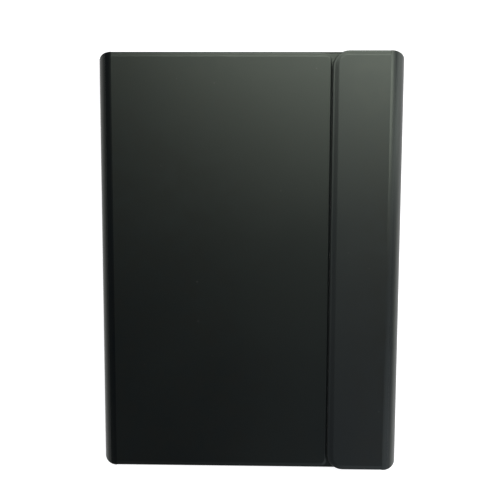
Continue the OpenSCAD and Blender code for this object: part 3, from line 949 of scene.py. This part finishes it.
def new_group(name, inputs, outputs):
    """An empty group with its sockets, given as name and kind."""
    tree = bpy.data.node_groups.new(name, "ShaderNodeTree")
    for way, sockets in (("INPUT", inputs), ("OUTPUT", outputs)):
        for label, kind in sockets:
            tree.interface.new_socket(label, in_out=way, socket_type="NodeSocket" + kind)
    return tree, tree.nodes.new("NodeGroupInput").outputs, tree.nodes.new("NodeGroupOutput").inputs


def maths(tree, operation, a, b=0.0, c=0.0):
    made = tree.nodes.new("ShaderNodeMath")
    made.operation = operation
    for socket, value in zip(made.inputs, (a, b, c)):
        feed(tree, socket, value)
    return made.outputs[0]


def spread(tree, value, low, high, out_low=0.0, out_high=1.0):
    """Stretches a value's range."""
    made = add_node(tree, "ShaderNodeMapRange", None, Value=value)
    for label, number in (("From Min", low), ("From Max", high), ("To Min", out_low),
                          ("To Max", out_high)):
        feed(tree, made.inputs[label], number)
    return made.outputs["Result"]


def noise(tree, place, scale, detail=2.0):
    made = add_node(tree, "ShaderNodeTexNoise", None, Vector=place, Scale=scale, Detail=detail)
    return made.outputs["Fac"]


def mix(tree, factor, a, b):
    """A colour between a and b."""
    made = tree.nodes.new("ShaderNodeMix")
    made.data_type = "RGBA"
    for socket, value in ((made.inputs[0], factor), (made.inputs[6], a), (made.inputs[7], b)):
        feed(tree, socket, value)
    return made.outputs[2]


print("node helpers ready")

# %% [markdown]
# Grain and patches are noise at two very different scales. A single noise with many octaves would
# mix them, and then neither could be set alone. The grain's height also gives the relief, and the
# patches vary the roughness, so that the gloss is never quite even.

# %% Fine grain and patches
grain, g_in, g_out = new_group(
    "fine_grain",
    [("Colour", "Color"), ("Patch Colour", "Color"), ("Grain Scale", "Float"),
     ("Patch Scale", "Float"), ("Roughness", "Float"), ("Roughness Spread", "Float")],
    [("Colour", "Color"), ("Roughness", "Float"), ("Height", "Float")])
place = add_node(grain, "ShaderNodeTexCoord").outputs["Object"]
fine = noise(grain, place, g_in["Grain Scale"], 3.0)
coarse = noise(grain, place, maths(grain, "MULTIPLY", g_in["Grain Scale"], 0.31), 2.0)
patches = spread(grain, noise(grain, place, g_in["Patch Scale"], 4.0), 0.3, 0.7)
grain.links.new(mix(grain, patches, g_in["Colour"], g_in["Patch Colour"]), g_out["Colour"])
uneven = maths(
    grain, "ADD", maths(grain, "MULTIPLY", patches, 0.6), maths(grain, "MULTIPLY", fine, 0.8))
centred = maths(grain, "SUBTRACT", uneven, 0.7)
grain.links.new(
    maths(grain, "MULTIPLY_ADD", centred, g_in["Roughness Spread"], g_in["Roughness"]),
    g_out["Roughness"])
grain.links.new(maths(grain, "MULTIPLY_ADD", coarse, 0.6, fine), g_out["Height"])
print(grain.name, "has", len(grain.nodes), "nodes")

# %% [markdown]
# Wear shows first on rims. Scratches could be painted on, but Pointiness finds the rims of any
# shape: it is high where a surface turns sharply. Noise breaks it up.

# %% Rubbed edges
rim_begins, rim_full = 0.505, 0.54
rubbed, r_in, r_out = new_group(
    "rubbed_edges",
    [("Colour", "Color"), ("Edge Colour", "Color"), ("Roughness", "Float"),
     ("Edge Roughness", "Float"), ("Amount", "Float")],
    [("Colour", "Color"), ("Roughness", "Float")])
pointed = add_node(rubbed, "ShaderNodeNewGeometry").outputs["Pointiness"]
worn_place = add_node(rubbed, "ShaderNodeTexCoord").outputs["Object"]
broken = spread(rubbed, noise(rubbed, worn_place, 120.0, 3.0), 0.35, 0.65)
edge = maths(rubbed, "MULTIPLY", spread(rubbed, pointed, rim_begins, rim_full), broken)
edge = maths(rubbed, "MULTIPLY", edge, r_in["Amount"])
rubbed.links.new(mix(rubbed, edge, r_in["Colour"], r_in["Edge Colour"]), r_out["Colour"])
rubbed.links.new(
    spread(rubbed, edge, 0.0, 1.0, r_in["Roughness"], r_in["Edge Roughness"]), r_out["Roughness"])
print(rubbed.name, "has", len(rubbed.nodes), "nodes")

# %% [markdown]
# Dust lies in single specks, and noise would give clouds. A speck is the middle of a Voronoi cell,
# and about three cells in ten have one.

# %% Dust
speck_radius = 0.045
bare_share = 0.7
dust, d_in, d_out = new_group(
    "dust_specks", [("Colour", "Color"), ("Dust Colour", "Color"), ("Cell Scale", "Float")],
    [("Colour", "Color"), ("Mask", "Float")])
dust_place = add_node(dust, "ShaderNodeTexCoord").outputs["Object"]
cells = add_node(dust, "ShaderNodeTexVoronoi", None, Vector=dust_place, Scale=d_in["Cell Scale"])
speck = maths(dust, "LESS_THAN", cells.outputs["Distance"], speck_radius)
luck = add_node(dust, "ShaderNodeSeparateColor", None, Color=cells.outputs["Color"]).outputs["Red"]
speck = maths(dust, "MULTIPLY", speck, maths(dust, "GREATER_THAN", luck, bare_share))
dust.links.new(mix(dust, speck, d_in["Colour"], d_in["Dust Colour"]), d_out["Colour"])
dust.links.new(speck, d_out["Mask"])
print("groups:", [g.name for g in bpy.data.node_groups])

# %% [markdown]
# A material puts these together. The shader stays in the material, and what is the same all over,
# such as metalness or sheen, is set on the shader itself.

# %% Material helper
def grey(value, tint=(1, 1, 1)):
    return tuple(value * t for t in tint) + (1,)


def make_finish(name, colour, patch, roughness, spread_of=0.1, grain_scale=2500.0, patch_scale=30.0,
                bump=0.1, bump_depth=0.05 * mm, worn=None, dusty=None, **shader):
    """A material with grain, patches and, if asked, rubbed edges and dust. shader holds fixed
    values of the Principled BSDF, with _ for a space."""
    made = bpy.data.materials.new(name)
    made.use_nodes = True
    tree = made.node_tree
    surface = tree.nodes["Principled BSDF"]
    base = add_node(tree, "ShaderNodeGroup", {"node_tree": grain}, Colour=colour,
                    Patch_Colour=patch, Grain_Scale=grain_scale, Patch_Scale=patch_scale,
                    Roughness=roughness, Roughness_Spread=spread_of)
    colour_out, rough_out = base.outputs["Colour"], base.outputs["Roughness"]
    if worn:
        edge_colour, edge_roughness, amount = worn
        worn_node = add_node(tree, "ShaderNodeGroup", {"node_tree": rubbed}, Colour=colour_out,
                             Edge_Colour=edge_colour, Roughness=rough_out,
                             Edge_Roughness=edge_roughness, Amount=amount)
        colour_out, rough_out = worn_node.outputs["Colour"], worn_node.outputs["Roughness"]
    if dusty:
        dust_colour, cell_scale = dusty
        colour_out = add_node(tree, "ShaderNodeGroup", {"node_tree": dust}, Colour=colour_out,
                              Dust_Colour=dust_colour, Cell_Scale=cell_scale).outputs["Colour"]
    tree.links.new(colour_out, surface.inputs["Base Color"])
    tree.links.new(rough_out, surface.inputs["Roughness"])
    relief = add_node(tree, "ShaderNodeBump", None, Strength=bump, Distance=bump_depth,
                      Height=base.outputs["Height"])
    tree.links.new(relief.outputs["Normal"], surface.inputs["Normal"])
    for key, value in shader.items():
        surface.inputs[key.replace("_", " ")].default_value = value
    return made


print("material helper ready")

# %% [markdown]
# ### Cover leather
# The covers are coated with a soft-touch black: almost no grain to see, a little green in its
# reflections, and a satin gloss that fades slowly across the panel. The flap, the edge strip and
# their bends get a lighter, bluer copy of the coat, which is painted light: it brightens and blues
# that side beyond what the lamps do. The spine and its bends get a copy with half the gloss, which
# is painted shade: it makes the left side look darker. One material could serve all three, but a
# gloss that changes over the surface can't be exported.

# %% Covers and linings
soft_touch = {
    "spread_of": 0.04, "grain_scale": 3200.0, "patch_scale": 14.0, "bump": 0.06,
    "bump_depth": 0.03 * mm, "Specular_Tint": (0.88, 1, 0.83, 1),
}
cover_black = (grey(0.0022, (0.6, 1, 1.6)), grey(0.003, (0.7, 1, 1.4)), 0.39)
cover_wear = {"worn": (grey(0.005), 0.34, 0.5), "dusty": (grey(0.02), 95.0)}
leather = make_finish(
    "soft_touch_leather", *cover_black, Specular_IOR_Level=0.5, **cover_wear, **soft_touch)
# Painted light: the flap's side gets a lighter, bluer base colour than the rest of the coat.
painted_light_leather = make_finish(
    "painted_light_leather", grey(0.0075, (0.8, 0.95, 1.25)), grey(0.0085, (0.85, 0.97, 1.2)), 0.39,
    worn=(grey(0.01), 0.34, 0.6), dusty=(grey(0.025), 95.0), Specular_IOR_Level=0.5, **soft_touch)
# Painted shade: the spine's coat has half the specular level, so the left side reflects less and
# looks darker.
painted_shade_leather = make_finish(
    "painted_shade_leather", *cover_black, Specular_IOR_Level=0.25, **cover_wear, **soft_touch)
cloth = make_finish(
    "brushed_microfibre", grey(0.035, (1, 1.02, 1.05)), grey(0.05), 0.92, 0.08, 2600.0, 60.0, 0.35,
    0.12 * mm, None, (grey(0.2), 160.0), Sheen_Weight=0.35, Sheen_Roughness=0.4)
print("covers:", leather.name, painted_light_leather.name, painted_shade_leather.name, cloth.name)

# %% [markdown]
# ### Moulded parts
# The plastics differ in gloss and in the size of their grain: the tray is coarse and matt, the
# caps are finer, and the trims are polished. What is handled has its rims rubbed shiny, and the
# wide flat ones hold dust. Each could be built by hand in the node editor, but they differ only in
# values, so one helper makes them all.

# %% Plastics and rubber
tray_plastic = make_finish(
    "matt_tray_plastic", grey(0.016), grey(0.02), 0.55, 0.12, 2200.0, 25.0, 0.16, 0.04 * mm,
    (grey(0.035), 0.4, 0.8), (grey(0.2), 120.0))
deck_plastic = make_finish(
    "deck_plastic", grey(0.02, (1, 1.01, 1.03)), grey(0.026), 0.5, 0.1, 3400.0, 25.0, 0.14,
    0.03 * mm, (grey(0.05), 0.36, 0.7), (grey(0.22), 120.0))
cap_plastic = make_finish(
    "key_cap_plastic", grey(0.012), grey(0.016), 0.48, 0.12, 4200.0, 90.0, 0.12, 0.02 * mm,
    (grey(0.03), 0.33, 0.6))
ink = make_finish("legend_ink", grey(0.62), grey(0.52), 0.6, 0.1, 5000.0, 300.0, 0.1, 0.01 * mm)
pad_surface = make_finish(
    "touchpad_surface", grey(0.014, (1, 1, 1.04)), grey(0.018), 0.36, 0.08, 5200.0, 20.0, 0.05,
    0.01 * mm, (grey(0.05), 0.25, 0.6), (grey(0.2), 150.0), Coat_Weight=0.25, Coat_Roughness=0.3)
rubber = make_finish(
    "bumper_rubber", grey(0.02), grey(0.03), 0.75, 0.1, 1800.0, 80.0, 0.2, 0.03 * mm)
silicone = make_finish(
    "dome_silicone", grey(0.55, (1, 0.99, 0.95)), grey(0.62), 0.55, 0.1, 1500.0, 120.0, 0.1,
    0.02 * mm, Subsurface_Weight=0.2)
link_plastic = make_finish(
    "link_plastic", grey(0.62), grey(0.56, (1, 0.99, 0.96)), 0.42, 0.08, 2000.0, 90.0, 0.08,
    0.01 * mm)
gloss_trim = make_finish(
    "trim_plastic", grey(0.01), grey(0.013), 0.2, 0.08, 2000.0, 40.0, 0.04, 0.01 * mm,
    (grey(0.04), 0.3, 0.7))
light_pipe = make_finish(
    "light_pipe", grey(0.6, (0.92, 1, 0.95)), grey(0.68, (0.94, 1, 0.96)), 0.25, 0.08, 2400.0,
    400.0, 0.05, 0.01 * mm, Transmission_Weight=0.5)
print(len(bpy.data.materials), "materials so far, with the frame's own")

# %% [markdown]
# ### Films, boards and metal
# These lie inside the folio, or at its hinges and port. Metal needs little more than a metallic
# value and an uneven roughness. The boards could have a weave of fibres, but so little of them
# shows that a strong relief on the same grain is enough.

# %% Films, boards and metal
adhesive_film = make_finish(
    "adhesive_film", grey(0.6, (1, 0.97, 0.86)), grey(0.54, (1, 0.96, 0.84)), 0.4, 0.1, 900.0, 40.0,
    0.1)
printed_film = make_finish(
    "membrane_film", grey(0.28, (0.85, 1, 0.9)), grey(0.34, (0.85, 1, 0.92)), 0.3, 0.1, 900.0, 60.0,
    0.05)
greyboard = make_finish(
    "greyboard", grey(0.2, (1, 0.86, 0.68)), grey(0.27, (1, 0.88, 0.7)), 0.9, 0.06, 1400.0, 90.0,
    0.4, 0.1 * mm)
battery_foil = make_finish(
    "battery_foil", grey(0.58), grey(0.5), 0.3, 0.12, 700.0, 50.0, 0.3, 0.1 * mm, Metallic=0.9)
circuit_board = make_finish(
    "circuit_board", grey(0.14, (0.2, 1, 0.45)), grey(0.2, (0.22, 1, 0.5)), 0.35, 0.12, 1800.0,
    260.0, 0.15, 0.04 * mm)
bright_metal = make_finish(
    "plated_metal", grey(0.62, (1, 1, 1.02)), grey(0.54), 0.28, 0.14, 1600.0, 140.0, 0.1, 0.01 * mm,
    (grey(0.78), 0.18, 0.8), Metallic=1.0)
magnet_plate = make_finish(
    "nickel_magnet", grey(0.56, (1, 0.99, 0.96)), grey(0.48), 0.22, 0.1, 1500.0, 120.0, 0.08,
    0.01 * mm, Metallic=1.0)
print(len(bpy.data.materials), "materials, with the frame's own")

# %% [markdown]
# ## Carried-over parts
# Much of the frame already has the right shape: the tray, the deck, hinges and screws. Its meshes
# stay as they are. Live modifiers merge their loose triangles, clear the flat seams and round the
# edges by a fraction of a millimetre, so that they catch the light as moulded edges do.

# %% Give the frame's parts their finish
finishes = {
    "tablet_tray": tray_plastic, "camera_trim": gloss_trim,
    "keyboard_base": deck_plastic, "keyboard_deck": deck_plastic,
    "touchpad": pad_surface, "screen_bumpers": rubber, "power_switch": gloss_trim,
    "indicator_lights": light_pipe,
    "membrane_sheet": printed_film, "support_plate": bright_metal, "closing_plate": bright_metal,
    "back_hinge_leaves": bright_metal, "stand_hinge_leaves": bright_metal,
    "stand_hinge_pins": bright_metal, "keyboard_screws": bright_metal,
    "charging_port": bright_metal,
    "stand_keepers": magnet_plate, "stand_magnets": magnet_plate, "flap_magnets": magnet_plate,
    "tray_adhesive": adhesive_film, "keyboard_adhesive": adhesive_film,
    "controller_board": circuit_board, "battery": battery_foil,
    "back_board": greyboard, "stand_board": greyboard, "spine_board": greyboard,
    "front_board": greyboard, "edge_board": greyboard, "flap_board": greyboard,
}
rounded = {
    "tablet_tray": 0.35, "camera_trim": 0.25, "keyboard_base": 0.3, "keyboard_deck": 0.12,
    "touchpad": 0.2, "screen_bumpers": 0.25, "power_switch": 0.15, "keyboard_screws": 0.08,
    "charging_port": 0.1, "stand_keepers": 0.1, "battery": 0.4, "back_hinge_leaves": 0.08,
    "stand_hinge_leaves": 0.08,
}
for name, finish in finishes.items():
    part = nodes[name]
    part.data.materials.clear()
    part.data.materials.append(finish)
    if name in rounded:
        part.modifiers.new("merge", "WELD").merge_threshold = 0.002 * mm
        flat = part.modifiers.new("clear flat seams", "DECIMATE")
        flat.decimate_type = "DISSOLVE"
        flat.angle_limit = radians(1)
        soft = part.modifiers.new("round edges", "BEVEL")
        soft.width = rounded[name] * mm
        soft.segments = 2
        soft.limit_method = "ANGLE"
        soft.angle_limit = radians(40)
        soft.harden_normals = False
print(len(finishes), "parts of the frame finished")

# %% [markdown]
# ## Put the pieces on their bodies
# Each new piece replaces the plain solid it was made from and, except the bends, moves with that
# solid's body. A bend belongs to two bodies, and it is fixed where it lies.

# %% Bodies
def coat(piece, finish):
    """Gives a piece this finish and no other."""
    piece.data.materials.clear()
    piece.data.materials.append(finish)


rides = {
    "front_leather": ("front_cover", "front_skin", "cover_leather", leather),
    "front_cloth": ("front_cover", "front_lining", "lining", cloth),
    # Painted light: the flap has the lighter, bluer coat.
    "flap_leather": ("flap", "flap_skin", "cover_leather", painted_light_leather),
    "flap_cloth": ("flap", "flap_lining", "lining", cloth),
    "back_leather": ("back", "back_skin", "cover_leather", leather),
    "back_cloth": ("back", "back_lining", "lining", cloth),
    "stand_leather": ("stand", "stand_skin", "cover_leather", leather),
    "stand_cloth": ("stand", "stand_lining", "lining", cloth),
    # Painted shade: the spine has the coat with half the gloss.
    "spine_leather": ("spine", "spine_skin", "cover_leather", painted_shade_leather),
    # Painted light: the edge strip has the lighter, bluer coat.
    "edge_leather": ("edge", "edge_skin", "cover_leather", painted_light_leather),
    "anchor_leather": ("back", "anchor_strip", "cover_leather", leather),
}
for name, (body, node, slot, finish) in rides.items():
    piece = bpy.data.objects[name]
    coat(piece, finish)
    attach(piece, body)
    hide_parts(node)
print(len(rides), "panels, linings and strips on their bodies")

# %% [markdown]
# A bend that moved with only one of its bodies would tear away from the other as the folio opens.
# So each is given its finish and fixed where it lies, on neither body; the table names its crease
# and its two bodies.

# %% Bends between their bodies
bends = {
    "spine_back_bend": ("spine_back_crease", "back", "spine"),
    "spine_front_bend": ("spine_front_crease", "spine", "front_cover"),
    "edge_back_bend": ("edge_back_crease", "back", "edge"),
    "edge_flap_bend": ("edge_flap_crease", "edge", "flap"),
}
for name, (node, first, second) in bends.items():
    piece = bpy.data.objects[name]
    # The spine's bends get the coat with half the gloss, which is painted shade, and the others get
    # the lighter, bluer coat, which is painted light.
    coat(piece, painted_shade_leather if name.startswith("spine") else painted_light_leather)
    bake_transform(piece)
    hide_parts(node)
print(len(bends), "bends between their bodies")

# %% [markdown]
# Caps and legends move with their own keys. The domes and links stay with the keyboard, one piece
# of each for every group of keys, each with its own mesh. They are rigid, so they would come
# through the caps of a pressed key.

# %% Keys and their mechanism
body_of = {node: body for body, members in frame["record"]["behaviour"]["bodies"].items()
           for node in members}
for node, piece in key_caps.items():
    coat(piece, cap_plastic)
    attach(piece, body_of[node])
    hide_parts(node)
for node, piece in key_legends.items():
    coat(piece, ink)
    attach(piece, body_of[node])
for pieces, solid, slot, finish in (
        (key_domes, "rubber_domes", "silicone", silicone),
        (key_links, "scissor_links", "link_plastic", link_plastic)):
    for node, piece in pieces.items():
        coat(piece, finish)
        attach(piece, body_of[solid])
        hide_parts(solid)
        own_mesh(piece)
print(3 * len(key_caps) + len(key_legends), "pieces of keys on their bodies")

# %% [markdown]
# ## Floor and light
# The folio lies on a plain white floor. More light would turn a grey floor white too, but it would
# also wash out the black coat. So the floor glows, but only to the eye, in reflections and through
# clear parts, and its diffuse part still takes the folio's shadow.

# %% Floor
select_nothing()
bpy.ops.mesh.primitive_plane_add(size=8, location=(0, 0, -0.02 * mm))
floor = bpy.context.object
floor.name = "floor"
bpy.ops.object.transform_apply(location=True)
paper = bpy.data.materials.new("white_floor")
paper.use_nodes = True
tree = paper.node_tree
tree.nodes.clear()
path = add_node(tree, "ShaderNodeLightPath").outputs
mirrored = maths(tree, "MAXIMUM", path["Is Glossy Ray"], path["Is Transmission Ray"])
shown = maths(tree, "MAXIMUM", path["Is Camera Ray"], mirrored)
reach = add_node(tree, "ShaderNodeVectorMath", {"operation": "LENGTH"})
tree.links.new(add_node(tree, "ShaderNodeTexCoord").outputs["Object"], reach.inputs[0])
paleness = spread(tree, reach.outputs["Value"], low=0.3, high=1.2, out_low=0.82, out_high=1.05)
seen = maths(tree, "MULTIPLY", shown, paleness)
lit = add_node(tree, "ShaderNodeBsdfDiffuse", None, Color=grey(0.48))
glow = add_node(tree, "ShaderNodeEmission", None, Color=grey(1), Strength=seen)
both = tree.nodes.new("ShaderNodeAddShader")
tree.links.new(lit.outputs[0], both.inputs[0])
tree.links.new(glow.outputs[0], both.inputs[1])
out = tree.nodes.new("ShaderNodeOutputMaterial")
tree.links.new(both.outputs[0], out.inputs["Surface"])
floor.data.materials.append(paper)
print("the floor is", round(floor.dimensions.x, 1), "m wide")

# %% [markdown]
# A wide key light hangs above the folio's top end, so the satin coat shows a broad soft glow there
# that fades towards the bottom left. A lower light on the right and a faint one at the bottom
# right lift the flap. Overhead, the world that is mirrored is kept dim, as the ceiling of a room
# is, because a white one would turn the black coat grey.

# %% World and lamps
world = bpy.data.worlds.new("studio")
bpy.context.scene.world = world
world.use_nodes = True
tree = world.node_tree
tree.nodes.clear()
path = add_node(tree, "ShaderNodeLightPath").outputs
up = add_node(tree, "ShaderNodeSeparateXYZ", None,
              Vector=add_node(tree, "ShaderNodeTexCoord").outputs["Generated"]).outputs["Z"]
horizon = tree.nodes.new("ShaderNodeValToRGB")
tree.links.new(up, horizon.inputs["Fac"])
stops = horizon.color_ramp.elements
stops[0].position, stops[0].color = 0.02, grey(1)
stops[1].position, stops[1].color = 0.88, grey(0.01)
for position, value in ((0.1, 0.03), (0.5, 0.19)):
    stops.new(position).color = grey(value)
mirrored = maths(tree, "MAXIMUM", path["Is Glossy Ray"], path["Is Transmission Ray"])
ambient = 0.22
clear = maths(tree, "MAXIMUM", path["Is Camera Ray"], path["Is Transmission Ray"])
strength = maths(tree, "MAXIMUM", clear, maths(
    tree, "MULTIPLY", path["Is Glossy Ray"], horizon.outputs["Color"]))
strength = maths(tree, "MAXIMUM", strength, maths(
    tree, "MULTIPLY", ambient, maths(tree, "SUBTRACT", 1.0, mirrored)))
sky = add_node(tree, "ShaderNodeBackground", None, Color=grey(1), Strength=strength)
tree.links.new(sky.outputs[0], tree.nodes.new("ShaderNodeOutputWorld").inputs["Surface"])


def lamp(name, place, width, height, watts, colour):
    """A soft rectangular light at place, facing the folio."""
    data = bpy.data.lights.new(name, "AREA")
    data.shape = "RECTANGLE"
    data.size, data.size_y = width, height
    data.energy = watts
    data.color = colour
    made = bpy.data.objects.new(name, data)
    made.location = place
    made.rotation_euler = Vector(place).to_track_quat("Z", "Y").to_euler()
    bpy.context.scene.collection.objects.link(made)


lamp("key_light", (0.27, 0.71, 1.405), 1.05, 0.69, 19.8, (1, 1, 1))
lamp("side_light", (1.349, 0.412, 0.51), 0.5, 1.8, 8.6, (0.94, 0.95, 1))
lamp("corner_light", (0.7, -0.944, 0.761), 1.2, 1.2, 4, (0.8, 0.82, 1))
